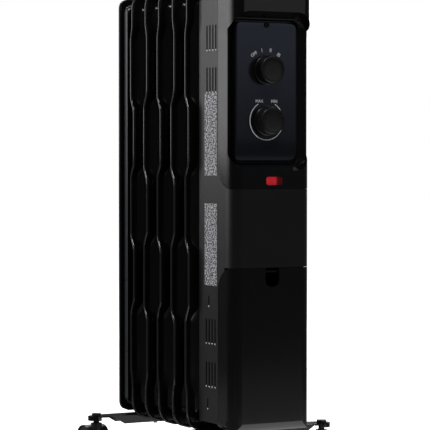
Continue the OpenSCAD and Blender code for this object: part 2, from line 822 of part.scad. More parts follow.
// Pair of wheels of one caster
module wheels(c) {
    x = caster_x(c);
    ay = caster_y(c) + trail;
    color("#1a1a1a") for (s = [-1, 1]) difference() {
        rod_x(ay, axle_z, wheel_r, x + s * 9.5 - 4.5, x + s * 9.5 + 4.5);
        rod_x(ay, axle_z, axle_r, x + s * 9.5 - 6, x + s * 9.5 + 6);
        difference() {
            rod_x(ay, axle_z, 15, x + s * 13 - 2.5, x + s * 13 + 2.5);
            rod_x(ay, axle_z, 6, x + s * 13 - 3, x + s * 13 + 3);
        }
    }
}

// Axle of one caster
module axle(c) {
    x = caster_x(c);
    color("#b8b8b4") rod_x(caster_y(c) + trail, axle_z, axle_r, x - 13, x + 13);
}

module hood_fl() { hood("fl"); }
module hood_fr() { hood("fr"); }
module hood_rl() { hood("rl"); }
module hood_rr() { hood("rr"); }
module wheels_fl() { wheels("fl"); }
module wheels_fr() { wheels("fr"); }
module wheels_rl() { wheels("rl"); }
module wheels_rr() { wheels("rr"); }
module axle_fl() { axle("fl"); }
module axle_fr() { axle("fr"); }
module axle_rl() { axle("rl"); }
module axle_rr() { axle("rr"); }

fin_1();
fin_2();
fin_3();
fin_4();
fin_5();
fin_6();
fin_7();
upper_collars();
lower_collars();
element_low();
element_high();
element_flange();
filler_plug();
back_plate();
plate_screws();
side_shell();
base_plate();
cord_gland();
side_labels();
control_moulding();
top_cap();
dial_panel();
dial_marks();
panel_screw();
lamp_lens();
neon_lamp();
selector_switch();
thermostat();
thermal_cutout();
tip_switch();
terminal_block();
selector_knob();
selector_shaft();
thermostat_knob();
thermostat_shaft();
cord_bay();
storage_lid();
hinge_pins();
front_bracket();
rear_bracket();
u_bolts();
wing_nuts();
caster_stems();
stem_nuts();
hood_fl();
wheels_fl();
axle_fl();
hood_fr();
wheels_fr();
axle_fr();
hood_rl();
wheels_rl();
axle_rl();
hood_rr();
wheels_rr();
axle_rr();
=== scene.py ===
"""Oil filled radiator heater: materials, lights, and the finely shaped pieces around the CAD frame."""

import math

import bpy
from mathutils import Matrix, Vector


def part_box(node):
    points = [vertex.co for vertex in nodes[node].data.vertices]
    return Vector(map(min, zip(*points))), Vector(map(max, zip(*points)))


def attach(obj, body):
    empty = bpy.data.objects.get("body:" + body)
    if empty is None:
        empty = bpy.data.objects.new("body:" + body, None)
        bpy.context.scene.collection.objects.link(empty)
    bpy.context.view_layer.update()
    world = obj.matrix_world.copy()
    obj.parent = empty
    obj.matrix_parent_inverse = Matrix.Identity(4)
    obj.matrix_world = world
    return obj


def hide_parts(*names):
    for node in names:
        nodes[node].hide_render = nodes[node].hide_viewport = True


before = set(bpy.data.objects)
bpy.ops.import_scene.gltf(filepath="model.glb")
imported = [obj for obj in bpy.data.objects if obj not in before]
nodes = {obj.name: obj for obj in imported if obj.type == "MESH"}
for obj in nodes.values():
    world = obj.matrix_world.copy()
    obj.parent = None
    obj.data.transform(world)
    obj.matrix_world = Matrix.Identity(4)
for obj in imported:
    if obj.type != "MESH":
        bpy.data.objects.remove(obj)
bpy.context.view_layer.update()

MM = 0.001
scene = bpy.context.scene
# Heights of the two dials and front of the panel that they turn on
DIAL_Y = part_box("dial_panel")[0].y
SELECTOR_Z = 516.0 * MM
THERMOSTAT_Z = 451.5 * MM

# The view: the camera stands to the left of the control face, a little above the middle.
VIEW_AZIMUTH = math.radians(29.0)
VIEW_ELEVATION = math.radians(1.48)
VIEW_DISTANCE = 2.712
VIEW_TARGET = Vector((-0.0326, -0.0590, 0.3307))
SENSOR = 36.0
LENS = 175.5
WORLD_FILL = 0.06
WORLD_SEEN = 1.0
# Painted shade darkens the lens's right end, for the shadow of the lens recess
LENS_PAINTED_SHADE_X = 6.0 * MM


# ---------------------------------------------------------------- materials

def new_material(name):
    material = bpy.data.materials.new(name)
    material.use_nodes = True
    tree = material.node_tree
    shader = tree.nodes["Principled BSDF"]
    return material, tree, shader


def noise(tree, scale, detail=3.0, rough=0.5):
    place = tree.nodes.new("ShaderNodeTexCoord")
    node = tree.nodes.new("ShaderNodeTexNoise")
    node.inputs["Scale"].default_value = scale
    node.inputs["Detail"].default_value = detail
    node.inputs["Roughness"].default_value = rough
    tree.links.new(place.outputs["Object"], node.inputs["Vector"])
    return node


def spread(tree, source, low, high):
    """Maps a 0..1 value to low..high."""
    node = tree.nodes.new("ShaderNodeMapRange")
    node.inputs["To Min"].default_value = low
    node.inputs["To Max"].default_value = high
    tree.links.new(source, node.inputs["Value"])
    return node.outputs["Result"]


def bump(tree, shader, height, strength, distance):
    node = tree.nodes.new("ShaderNodeBump")
    node.inputs["Strength"].default_value = strength
    node.inputs["Distance"].default_value = distance
    tree.links.new(height, node.inputs["Height"])
    tree.links.new(node.outputs["Normal"], shader.inputs["Normal"])


def surface(name, dark, light, rough, grain=900.0, grain_depth=0.03, metal=0.0, coat=0.0, ior=1.5):
    """Colour varies between dark and light, roughness between the two values of rough."""
    material, tree, shader = new_material(name)
    broad = noise(tree, 14.0, 4.0)
    mix = tree.nodes.new("ShaderNodeMix")
    mix.data_type = "RGBA"
    mix.inputs["A"].default_value = (*dark, 1)
    mix.inputs["B"].default_value = (*light, 1)
    tree.links.new(broad.outputs["Fac"], mix.inputs["Factor"])
    tree.links.new(mix.outputs["Result"], shader.inputs["Base Color"])
    fine = noise(tree, 60.0, 5.0, 0.6)
    tree.links.new(spread(tree, fine.outputs["Fac"], *rough), shader.inputs["Roughness"])
    shader.inputs["Metallic"].default_value = metal
    shader.inputs["IOR"].default_value = ior
    shader.inputs["Coat Weight"].default_value = coat
    shader.inputs["Coat Roughness"].default_value = 0.05
    bump(tree, shader, noise(tree, grain, 2.0).outputs["Fac"], grain_depth, 0.0004)
    return material


def grey(value):
    return (value, value, value * 1.06)


enamel = surface("fin_enamel", (0.0025, 0.0027, 0.0034), (0.0040, 0.0042, 0.0052), (0.16, 0.24),
                 500.0, 0.05, ior=1.42)
# The bead's lighter base colour is a painted highlight standing in for the bright edge lines of the fins; its
# gloss is real.
bead_painted_highlight = surface("fin_edge_enamel", grey(0.012), grey(0.020), (0.08, 0.14), 500.0, 0.04, ior=1.75)
# Painted highlight: a lighter band on the rear fin's pan wall, standing in for the light that wall catches.
pan_wall_highlight_paint = surface("fin_pan_edge", (0.07, 0.078, 0.092), (0.10, 0.11, 0.13), (0.24, 0.34),
                   500.0, 0.04, ior=2.2)
bracket_paint = surface("bracket_paint", grey(0.004), grey(0.006), (0.05, 0.09), 500.0, 0.02, ior=1.28)
shell_paint = surface("shell_paint", grey(0.006), grey(0.009), (0.30, 0.38), 1500.0, 0.10)
gloss_black = surface("gloss_black", grey(0.0022), grey(0.0034), (0.12, 0.20), 1200.0, 0.04, ior=1.42)
dial_black = surface("dial_black", grey(0.006), grey(0.008), (0.14, 0.22), 1600.0, 0.08)
dial_black.node_tree.nodes["Principled BSDF"].inputs["Specular Tint"].default_value = (0.78, 0.90, 1.25, 1)
knob_black = surface("knob_black", grey(0.005), grey(0.007), (0.26, 0.34), 1800.0, 0.10, ior=1.42)
nylon = surface("black_nylon", grey(0.008), grey(0.012), (0.35, 0.48), 1400.0, 0.15)
wheel_nylon = surface("wheel_nylon", grey(0.010), grey(0.014), (0.38, 0.52), 1400.0, 0.18)
zinc = surface("zinc_plate", (0.50, 0.50, 0.48), (0.64, 0.63, 0.60), (0.22, 0.38), 700.0, 0.08, metal=1.0)
sheath = surface("element_sheath", (0.30, 0.29, 0.28), (0.42, 0.41, 0.39), (0.35, 0.5),
                 600.0, 0.1, metal=1.0)
galvanised = surface("galvanised", (0.10, 0.10, 0.11), (0.16, 0.16, 0.17), (0.4, 0.6),
                     120.0, 0.08, metal=1.0)
# Bright metal on the slot lips: a painted highlight for the light caught by the slots' lower ends.
slot_lip_painted_highlight = surface("slot_lip_painted_highlight", (0.55, 0.55, 0.55), (0.70, 0.70, 0.70), (0.25, 0.35),
                    900.0, 0.05, metal=1.0)
white_plastic = surface("white_plastic", (0.60, 0.58, 0.52), (0.68, 0.66, 0.60), (0.35, 0.45),
                        900.0, 0.06)
brass_cap = surface("brass_cap", (0.50, 0.38, 0.18), (0.60, 0.47, 0.24), (0.25, 0.4),
                    700.0, 0.08, metal=1.0)
print_white = surface("print_white", (0.86, 0.86, 0.86), (0.94, 0.94, 0.94), (0.45, 0.55), 2500.0, 0.1)
screw_black = surface("screw_black", grey(0.012), grey(0.02), (0.3, 0.4), 900.0, 0.1, metal=1.0)


def gloss_the_front(material, front_y, side_y, rough):
    """Makes the shell's front panel glossier than its painted sides."""
    tree = material.node_tree
    shader = tree.nodes["Principled BSDF"]
    painted = shader.inputs["Roughness"].links[0].from_socket
    place = tree.nodes.new("ShaderNodeTexCoord")
    split = tree.nodes.new("ShaderNodeSeparateXYZ")
    tree.links.new(place.outputs["Object"], split.inputs["Vector"])
    share = tree.nodes.new("ShaderNodeMapRange")
    share.inputs["From Min"].default_value = front_y
    share.inputs["From Max"].default_value = side_y
    share.inputs["To Min"].default_value = 1.0
    share.inputs["To Max"].default_value = 0.0
    tree.links.new(split.outputs["Y"], share.inputs["Value"])
    mix = tree.nodes.new("ShaderNodeMix")
    mix.inputs["B"].default_value = rough
    tree.links.new(share.outputs["Result"], mix.inputs["Factor"])
    tree.links.new(painted, mix.inputs["A"])
    tree.links.new(mix.outputs["Result"], shader.inputs["Roughness"])


FRONT_PANEL_Y = -149.0 * MM
SIDE_PAINT_Y = -143.0 * MM
FRONT_ROUGHNESS = 0.17
gloss_the_front(shell_paint, FRONT_PANEL_Y, SIDE_PAINT_Y, FRONT_ROUGHNESS)


def lens_material():
    """Red lens that glows from its lamp; its right end is darkened with painted shade."""
    material, tree, shader = new_material("red_lens")
    tone = noise(tree, 220.0, 3.0)
    mix = tree.nodes.new("ShaderNodeMix")
    mix.data_type = "RGBA"
    mix.inputs["A"].default_value = (0.34, 0.010, 0.016, 1)
    mix.inputs["B"].default_value = (0.52, 0.020, 0.030, 1)
    tree.links.new(tone.outputs["Fac"], mix.inputs["Factor"])
    place = tree.nodes.new("ShaderNodeTexCoord")
    split = tree.nodes.new("ShaderNodeSeparateXYZ")
    tree.links.new(place.outputs["Object"], split.inputs["Vector"])
    # Painted shade: dims the colour and glow of the lens's right end.
    shade = tree.nodes.new("ShaderNodeMapRange")
    shade.inputs["From Min"].default_value = LENS_PAINTED_SHADE_X - 0.001
    shade.inputs["From Max"].default_value = LENS_PAINTED_SHADE_X + 0.002
    shade.inputs["To Min"].default_value = 1.0
    shade.inputs["To Max"].default_value = 0.12
    tree.links.new(split.outputs["X"], shade.inputs["Value"])
    dim = tree.nodes.new("ShaderNodeVectorMath")
    dim.operation = "SCALE"
    tree.links.new(mix.outputs["Result"], dim.inputs[0])
    tree.links.new(shade.outputs["Result"], dim.inputs["Scale"])
    tree.links.new(dim.outputs["Vector"], shader.inputs["Base Color"])
    tree.links.new(dim.outputs["Vector"], shader.inputs["Emission Color"])
    tree.links.new(spread(tree, noise(tree, 90.0).outputs["Fac"], 0.08, 0.16), shader.inputs["Roughness"])
    shader.inputs["Emission Strength"].default_value = 0.45
    bump(tree, shader, noise(tree, 900.0).outputs["Fac"], 0.05, 0.0003)
    return material


def label_material():
    """A pale film with a plain speckled pattern in rows, standing in for print."""
    material, tree, shader = new_material("label_film")
    place = tree.nodes.new("ShaderNodeTexCoord")
    scale = tree.nodes.new("ShaderNodeMapping")
    scale.inputs["Scale"].default_value = (1.0, 330.0, 520.0)
    tree.links.new(place.outputs["Object"], scale.inputs["Vector"])
    speckle = tree.nodes.new("ShaderNodeTexNoise")
    speckle.inputs["Scale"].default_value = 1.0
    speckle.inputs["Detail"].default_value = 3.0
    tree.links.new(scale.outputs["Vector"], speckle.inputs["Vector"])
    ramp = tree.nodes.new("ShaderNodeValToRGB")
    ramp.color_ramp.elements[0].position = 0.44
    ramp.color_ramp.elements[0].color = (0.045, 0.028, 0.032, 1)
    ramp.color_ramp.elements[1].position = 0.58
    ramp.color_ramp.elements[1].color = (0.74, 0.74, 0.80, 1)
    tree.links.new(speckle.outputs["Fac"], ramp.inputs["Fac"])
    tree.links.new(ramp.outputs["Color"], shader.inputs["Base Color"])
    tree.links.new(spread(tree, noise(tree, 80.0).outputs["Fac"], 0.4, 0.55), shader.inputs["Roughness"])
    bump(tree, shader, noise(tree, 1500.0).outputs["Fac"], 0.05, 0.0002)
    return material


red_lens = lens_material()
label_film = label_material()

LOOKS = {
    enamel: ["fin_7", "upper_collars", "lower_collars"],
    bracket_paint: ["front_bracket", "rear_bracket"],
    shell_paint: ["side_shell", "base_plate"],
    gloss_black: ["control_moulding", "top_cap", "storage_lid", "cord_bay"],
    nylon: ["cord_gland", "stem_nuts", "tip_switch", "hood_fl", "hood_fr", "hood_rl", "hood_rr"],
    wheel_nylon: ["wheels_fl", "wheels_fr", "wheels_rl", "wheels_rr"],
    zinc: ["element_flange", "filler_plug", "plate_screws", "u_bolts",
           "selector_shaft", "thermostat_shaft", "axle_fl", "axle_fr", "axle_rl", "axle_rr"],
    sheath: ["element_low", "element_high"],
    galvanised: ["back_plate", "thermostat"],
    white_plastic: ["selector_switch", "terminal_block", "neon_lamp"],
    brass_cap: ["thermal_cutout"],
    screw_black: ["panel_screw", "hinge_pins", "caster_stems", "wing_nuts"],
    red_lens: ["lamp_lens"],
    label_film: ["side_labels"],
}


def paint(piece, material):
    piece.data.materials.clear()
    piece.data.materials.append(material)


for look, names in LOOKS.items():
    for name in names:
        paint(nodes[name], look)


# ---------------------------------------------------------------- mesh tools

def add_mesh(name, points, faces, material, body, smooth_angle=40.0):
    mesh = bpy.data.meshes.new(name)
    mesh.from_pydata(points, [], faces)
    mesh.validate()
    piece = bpy.data.objects.new(name, mesh)
    scene.collection.objects.link(piece)
    paint(piece, material)
    smooth(piece, smooth_angle)
    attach(piece, body)
    return piece


def smooth(piece, angle):
    for face in piece.data.polygons:
        face.use_smooth = True
    piece.data.set_sharp_from_angle(angle=math.radians(angle))


def soften(name, width, segments=2, angle=35.0):
    """Rounds the sharp edges of a CAD node with a narrow bevel."""
    piece = nodes[name]
    smooth(piece, angle)
    bevel = piece.modifiers.new("edge_round", "BEVEL")
    bevel.width = width
    bevel.segments = segments
    bevel.limit_method = "ANGLE"
    bevel.angle_limit = math.radians(angle)
    bevel.harden_normals = True
    bevel.use_clamp_overlap = True


def ease(t):
    t = min(1.0, max(0.0, t))
    return t * t * (3.0 - 2.0 * t)


# ---------------------------------------------------------------- fins

WAVE_AMP = 4.3 * MM
WAVE_RISE = 24.0 * MM
WAVE_TURNS = {0: (49.3 * MM, 136.0 * MM, 232.5 * MM), 1: (42.3 * MM, 142.8 * MM, 235.0 * MM)}
HEADER_DROP = 45.0 * MM
# Oil channels and the round-cornered swelling over each header
CHANNEL_INSET = 22.0 * MM
CHANNEL_HALF = 10.5 * MM
CHANNEL_RISE = 5.9 * MM
CHANNEL_RUN = 20.0 * MM
HEADER_OVER = 9.0 * MM
HEADER_HALF = 27.0 * MM
HEADER_CORNER = 20.0 * MM
HEADER_RISE = 6.9 * MM
HEADER_SLOPE = 9.0 * MM
WAVE_FROM_X = 53.0 * MM
WAVE_BLEND = 9.0 * MM
WAVY_CORNER = 24.0 * MM
FLAT_CORNER = 14.0 * MM
SHEET_HALF = 0.6 * MM
BEAD_R = 1.45 * MM
BEAD_TURN = math.radians(140.0)
BEAD_STEPS = 8
SHEET_INSET = 2.9 * MM
# The rear fin's front sheet is pressed forward inside its flange
PAN_INSET = 8.6 * MM
PAN_DEPTH = 4.2 * MM
PAN_WALL = 2.4 * MM
PAN_CORNER = 12.0 * MM
PAN_STEPS = [-0.3 * MM + 0.3 * MM * i for i in range(12)]


def wave_at(k, z):
    """Offset of the wavy edge of fin k at height z from its middle."""
    near, far, end = WAVE_TURNS[k % 2]
    side = 1.0 if k % 2 == 0 else -1.0
    height = abs(z)
    steps = (1.0 - 2.0 * ease((height - near) / WAVE_RISE + 0.5)
             + 2.0 * ease((height - far) / WAVE_RISE + 0.5) - ease((height - end) / WAVE_RISE + 0.5))
    return side * WAVE_AMP * steps


def box_distance(x, z, half_x, half_z, radius):
    """Signed distance to a rounded rectangle centred on the origin, negative inside."""
    qx = abs(x) - half_x + radius
    qz = abs(z) - half_z + radius
    outside = math.hypot(max(qx, 0.0), max(qz, 0.0))
    return outside + min(max(qx, qz), 0.0) - radius


class FinShape:
    """Half thickness and edge offset of one fin at any point of its outline."""

    def __init__(self, k, wavy):
        low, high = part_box("fin_%d" % k)
        self.k = k
        self.wavy = wavy
        self.pan = not wavy
        self.y = (low.y + high.y) / 2
        self.half = high.x
        self.z0 = low.z
        self.z1 = high.z
        self.mid_z = (low.z + high.z) / 2
        self.outer = self.half - CHANNEL_INSET
        frame_low, frame_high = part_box("fin_3")
        self.low_header = frame_low.z + HEADER_DROP
        self.top_header = frame_high.z - HEADER_DROP
        self.radius = WAVY_CORNER if wavy else FLAT_CORNER

    def half_thickness(self, x, z, side):
        rise = 0.0
        for channel in (-self.outer, -self.outer / 3, self.outer / 3, self.outer):
            rise = max(rise, CHANNEL_RISE * ease(1.0 - abs(x - channel) / CHANNEL_HALF))
        if not self.low_header - CHANNEL_RUN < z < self.top_header + CHANNEL_RUN:
            rise = 0.0
        for header in (self.low_header, self.top_header):
            inside = -box_distance(x, z - header, self.outer + HEADER_OVER, HEADER_HALF, HEADER_CORNER)
            rise = max(rise, HEADER_RISE * ease(inside / HEADER_SLOPE))
        if self.pan and side < 0:
            rise = max(rise, PAN_DEPTH * min(1.0, max(0.0, self.inside_pan(x, z) / PAN_WALL)))
        return SHEET_HALF + rise

    def inside_pan(self, x, z):
        """Distance in from the outline of the pressed pan."""
        return -box_distance(x, z - self.mid_z, self.half - PAN_INSET,
                             (self.z1 - self.z0) / 2 - PAN_INSET, PAN_CORNER)

    def offset(self, x, z):
        if not self.wavy:
            return 0.0
        return wave_at(self.k, z - self.mid_z) * ease((abs(x) - WAVE_FROM_X) / WAVE_BLEND)

    def width_at(self, z, inset):
        """Half width of the outline at height z, with round corners, drawn inset from the edge."""
        half = self.half - inset
        radius = self.radius - inset
        rise = max(self.z0 + self.radius - z, z - (self.z1 - self.radius), 0.0)
        rise = min(rise, radius)
        return half - radius + math.sqrt(max(radius * radius - rise * rise, 0.0))


def fin_mesh(name, shape, columns, rows, material):
    """Front and back sheets on one grid, joined by a rolled bead round the edge."""
    spots = {round(shape.z0 + SHEET_INSET + (shape.z1 - shape.z0 - 2 * SHEET_INSET) * i / (rows - 1), 6)
             for i in range(rows)}
    if shape.pan:
        for step in PAN_STEPS:
            spots |= {round(shape.z0 + PAN_INSET + step, 6), round(shape.z1 - PAN_INSET - step, 6)}
    heights = sorted(spots)
    rows = len(heights)
    points = []
    for side in (-1, 1):
        for z in heights:
            reach = shape.width_at(z, SHEET_INSET)
            for u in columns:
                x = u * reach
                middle_y = shape.y + shape.offset(x, z)
                points.append((x, middle_y + side * shape.half_thickness(x, z, side), z))
    count = len(columns)
    sheet = rows * count
    faces = []
    for i in range(rows - 1):
        for j in range(count - 1):
            a = i * count + j
            faces.append((a, a + 1, a + 1 + count, a + count))
            b = a + sheet
            faces.append((b, b + count, b + count + 1, b + 1))
    rim = ([(0, j) for j in range(count)] + [(i, count - 1) for i in range(1, rows)]
           + [(rows - 1, j) for j in range(count - 2, -1, -1)] + [(i, 0) for i in range(rows - 2, 0, -1)])
    turns = [-BEAD_TURN + 2 * BEAD_TURN * n / (BEAD_STEPS - 1) for n in range(BEAD_STEPS)]
    first = len(points)
    for i, j in rim:
        x, y, z = points[i * count + j]
        centre_z = min(max(z, shape.z0 + shape.radius), shape.z1 - shape.radius)
        centre_x = min(max(x, -shape.half + shape.radius), shape.half - shape.radius)
        away = Vector((x - centre_x, 0, z - centre_z))
        away.normalize()
        middle_y = shape.y + shape.offset(x, z)
        for turn in turns:
            out = SHEET_INSET - BEAD_R + BEAD_R * math.cos(turn)
            points.append((x + away.x * out, middle_y + BEAD_R * math.sin(turn), z + away.z * out))
    total = len(rim)
    first_edge_face = len(faces)
    for n in range(total):
        m = (n + 1) % total
        a = rim[n][0] * count + rim[n][1]
        b = rim[m][0] * count + rim[m][1]
        p = first + n * BEAD_STEPS
        q = first + m * BEAD_STEPS
        faces.append((a, p, q, b))
        for step in range(BEAD_STEPS - 1):
            faces.append((p + step, p + step + 1, q + step + 1, q + step))
        faces.append((p + BEAD_STEPS - 1, a + sheet, b + sheet, q + BEAD_STEPS - 1))
    piece = add_mesh(name, points, faces, material, "radiator", 80.0)
    piece.data.materials.append(bead_painted_highlight)
    piece.data.materials.append(pan_wall_highlight_paint)
    # The bead round the edge takes the lighter enamel that paints in its highlight.
    for face in piece.data.polygons[first_edge_face:]:
        face.material_index = 1
    # The rear fin's pan wall takes the lighter material that paints in its highlight.
    if shape.pan:
        for face in piece.data.polygons[:first_edge_face]:
            if face.center.y < shape.y and 0 < shape.inside_pan(face.center.x, face.center.z) < PAN_WALL:
                face.material_index = 2
    return piece


def fin_columns(half, extra=()):
    """Grid columns from -1 to 1 across a fin, with a few more where its shape is tight."""
    steps = 60
    places = {round(-1 + 2 * i / steps, 5) for i in range(steps + 1)}
    places |= {round(s * e / half, 5) for e in extra for s in (-1, 1)}
    return sorted(places)


WAVY_ROWS = 170
PAN_ROWS = 200


def build_fins():
    """Fin 1, at the rear, has straight edges and a pan. Fins 2 to 6 have wavy edges."""
    for k in range(1, 7):
        wavy = k > 1
        shape = FinShape(k, wavy)
        extra = [] if wavy else [shape.half - PAN_INSET - step for step in PAN_STEPS]
        columns = fin_columns(shape.half - SHEET_INSET, extra)
        piece = fin_mesh("pressed_fin_%d" % k, shape, columns, WAVY_ROWS if wavy else PAN_ROWS, enamel)
        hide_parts("fin_%d" % k)


build_fins()

# ---------------------------------------------------------------- knobs, dial print, slot lips

PRINT_T = 0.10 * MM


RIB_CUT = 0.28
AROUND = 144


def knob_profile():
    """Radius and distance from the panel, from the skirt round to the middle of the dished face."""
    base = 0.6
    face = 17.0
    return [(12.6, base), (18.4, base), (19.0, base + 0.5), (19.0, base + 2.0), (18.6, base + 2.6),
            (18.1, base + 2.9), (18.05, base + 3.4), (17.8, base + 8.0), (17.5, face - 2.4),
            (17.35, face - 1.4), (16.9, face - 0.6), (16.2, face - 0.15), (15.5, face - 0.05),
            (14.9, face - 0.25), (14.4, face - 0.5), (10.0, face - 0.7), (5.0, face - 0.85),
            (0.0, face - 0.9)]


def knob_mesh(name, node, body, centre_z, pointer_deg):
    """Turned knob with fine grip ribs on its side and a raised pointer on its face."""
    points = []
    profile = knob_profile()
    for radius, out in profile[:-1]:
        ribbed = 3.3 < out < 14.8 and radius > 17.3
        for n in range(AROUND):
            turn = 2 * math.pi * n / AROUND
            r = radius - (RIB_CUT if ribbed and n % 4 in (2, 3) else 0.0)
            points.append((r * MM * math.sin(turn), DIAL_Y - out * MM, centre_z + r * MM * math.cos(turn)))
    points.append((0.0, DIAL_Y - profile[-1][1] * MM, centre_z))
    faces = []
    rings = len(profile) - 1
    for i in range(rings - 1):
        for n in range(AROUND):
            m = (n + 1) % AROUND
            faces.append((i * AROUND + n, i * AROUND + m, (i + 1) * AROUND + m, (i + 1) * AROUND + n))
    last = (rings - 1) * AROUND
    for n in range(AROUND):
        faces.append((last + n, last + (n + 1) % AROUND, rings * AROUND))
    # raised pointer on the outer part of the face
    first = len(points)
    turn = math.radians(pointer_deg)
    for along, half, out in ((5.0, 0.6, 16.1), (13.6, 1.1, 16.35), (14.2, 0.9, 16.4)):
        for side, lift in ((-1, 0.0), (-0.55, 0.55), (0.55, 0.55), (1, 0.0)):
            x = side * half
            points.append(((along * math.sin(turn) + x * math.cos(turn)) * MM, DIAL_Y - (out + lift) * MM,
                           centre_z + (along * math.cos(turn) - x * math.sin(turn)) * MM))
    for i in range(2):
        for j in range(3):
            a = first + i * 4 + j
            faces.append((a, a + 1, a + 5, a + 4))
    faces.append((first, first + 3, first + 2, first + 1))
    faces.append((first + 8, first + 9, first + 10, first + 11))
    piece = add_mesh(name, points, faces, knob_black, body, 38.0)
    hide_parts(node)


CROWN_R = 8.0 * MM
CROWN_WIDTH = 4.5 * MM
CROWN_DEPTH = 1.2 * MM
CHIN_WIDTH = 26.0 * MM
CHIN_DEPTH = 3.2 * MM


def build_dial_face():
    """The dial panel as a crowned moulding: its edge and its foot curve back into the frame."""
    low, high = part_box("dial_panel")
    half_x = high.x
    middle_z = (low.z + high.z) / 2
    half_z = (high.z - low.z) / 2
    spots = (1.0, 0.996, 0.985, 0.965, 0.94, 0.91, 0.87, 0.82)
    across = sorted({round(s * v, 5) for v in spots + (0.6, 0.4, 0.2, 0.0) for s in (-1, 1)})
    inner_z = [half_z - (1.0 - v) * half_x for v in spots]
    up = sorted({round(s * v, 6) for v in inner_z + [half_z * n / 18 for n in range(17)] for s in (-1, 1)})
    points = []
    for z in up:
        for u in across:
            reach = half_x
            rise = max(0.0, abs(z) - (half_z - CROWN_R))
            reach -= CROWN_R - math.sqrt(max(0.0, CROWN_R * CROWN_R - rise * rise))
            x = u * reach
            depth = -box_distance(x, z, half_x, half_z, CROWN_R)
            fall = 1.0 - min(1.0, max(0.0, depth) / CROWN_WIDTH)
            back = CROWN_DEPTH * (1.0 - math.sqrt(max(0.0, 1.0 - fall * fall)))
            lower = max(0.0, CHIN_WIDTH - half_z - z) / CHIN_WIDTH
            points.append((x, low.y + back + CHIN_DEPTH * lower * lower, middle_z + z))
    count = len(across)
    rows = len(up)
    faces = [(i * count + j, i * count + j + 1, (i + 1) * count + j + 1, (i + 1) * count + j)
             for i in range(rows - 1) for j in range(count - 1)]
    rim = (list(range(count)) + [i * count + count - 1 for i in range(1, rows)]
           + [(rows - 1) * count + j for j in range(count - 2, -1, -1)]
           + [i * count for i in range(rows - 2, 0, -1)])
    first = len(points)
    points += [(points[n][0], high.y, points[n][2]) for n in rim]
    total = len(rim)
    for n in range(total):
        m = (n + 1) % total
        faces.append((rim[m], rim[n], first + n, first + m))
    faces.append(tuple(first + n for n in range(total)))
    piece = add_mesh("dial_face", points, faces, dial_black, "radiator", 60.0)
    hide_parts("dial_panel")


build_dial_face()
knob_mesh("selector_dial", "selector_knob", "selector", SELECTOR_Z, -42.0)
knob_mesh("thermostat_dial_cap", "thermostat_knob", "thermostat_dial", THERMOSTAT_Z, 60.0)


def on_panel(x, z, out):
    return (x, DIAL_Y - out, z)


BOLDER = 0.022
RING_INNER = 23.8 * MM
RING_OUTER = 24.9 * MM


def add_words(points, faces, words, x, z, turn_deg, size):
    """Adds raised print of the words, turned clockwise about its own middle."""
    curve = bpy.data.curves.new("words", "FONT")
    curve.body = words
    curve.size = size
    curve.align_x = "CENTER"
    curve.align_y = "CENTER"
    curve.extrude = PRINT_T / 2
    curve.offset = size * BOLDER
    curve.resolution_u = 3
    holder = bpy.data.objects.new("words", curve)
    scene.collection.objects.link(holder)
    mesh = bpy.data.meshes.new_from_object(holder.evaluated_get(bpy.context.evaluated_depsgraph_get()))
    first = len(points)
    turn = math.radians(turn_deg)
    for vertex in mesh.vertices:
        u, v, w = vertex.co
        points.append(on_panel(x + u * math.cos(turn) + v * math.sin(turn),
                               z - u * math.sin(turn) + v * math.cos(turn), PRINT_T / 2 + w))
    faces.extend(tuple(first + n for n in face.vertices) for face in mesh.polygons)
    bpy.data.objects.remove(holder)
    bpy.data.curves.remove(curve)
    bpy.data.meshes.remove(mesh)


def add_arc(points, faces, centre_z, inner, outer, start_deg, end_deg, steps):
    """Adds a thin raised arc, clockwise from start to end as seen from the front, 0 at the top."""
    first = len(points)
    for n in range(steps + 1):
        turn = math.radians(start_deg + (end_deg - start_deg) * n / steps)
        for radius, out in ((inner, 0.0), (inner, PRINT_T), (outer, PRINT_T), (outer, 0.0)):
            points.append(on_panel(radius * math.sin(turn), centre_z + radius * math.cos(turn), out))
    for n in range(steps):
        for j in range(4):
            a = first + n * 4 + j
            b = first + n * 4 + (j + 1) % 4
            faces.append((a, b, b + 4, a + 4))
    faces.append((first, first + 3, first + 2, first + 1))
    end = first + steps * 4
    faces.append((end, end + 1, end + 2, end + 3))


def build_dial_print():
    """Station names of the selector, and MIN, MAX and a ring round the thermostat dial."""
    points = []
    faces = []
    for words, x, z, turn, size in (
            ("OFF", -18.4, 535.4, -32.0, 5.6), ("I", -6.8, 540.4, -10.0, 6.4),
            ("II", 5.7, 540.6, 10.0, 6.4), ("III", 17.6, 535.2, 32.0, 6.2),
            ("MAX", -10.6, 476.2, 0.0, 5.2), ("MIN", 11.2, 476.2, 0.0, 5.2)):
        add_words(points, faces, words, x * MM, z * MM, turn, size * MM)
    add_arc(points, faces, THERMOSTAT_Z, RING_INNER, RING_OUTER, 30.0, 330.0, 96)
    piece = add_mesh("dial_print", points, faces, print_white, "radiator", 30.0)
    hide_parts("dial_marks")


build_dial_print()

# Each group: Y of its first slot, Z of the slots' lower ends, number of slots
SLOT_GROUPS = ((-84.4, 542.0, 4), (-84.4, 488.5, 4), (-82.4, 168.5, 4), (-82.4, 113.2, 4),
               (-89.2, 216.0, 1), (-86.2, 84.5, 1))
SLOT_PITCH = 7.7
LIP_R = 1.5 * MM
LIP_PROUD = 0.75 * MM
LIP_SUNK = 0.1 * MM
LIP_DROP = 1.0
LIP_AROUND = 12
LIP_RINGS = 4


def build_slot_lips():
    """Small pressed lips at the slots' lower ends, in a bright metal that paints in their highlights."""
    points = []
    faces = []
    side_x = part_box("side_shell")[1].x
    for side in (-1, 1):
        for start, z, count in SLOT_GROUPS:
            for i in range(count):
                add_lip(points, faces, side, side_x, (start - i * SLOT_PITCH) * MM, (z - LIP_DROP) * MM)
    add_mesh("slot_lips", points, faces, slot_lip_painted_highlight, "radiator", 60.0)


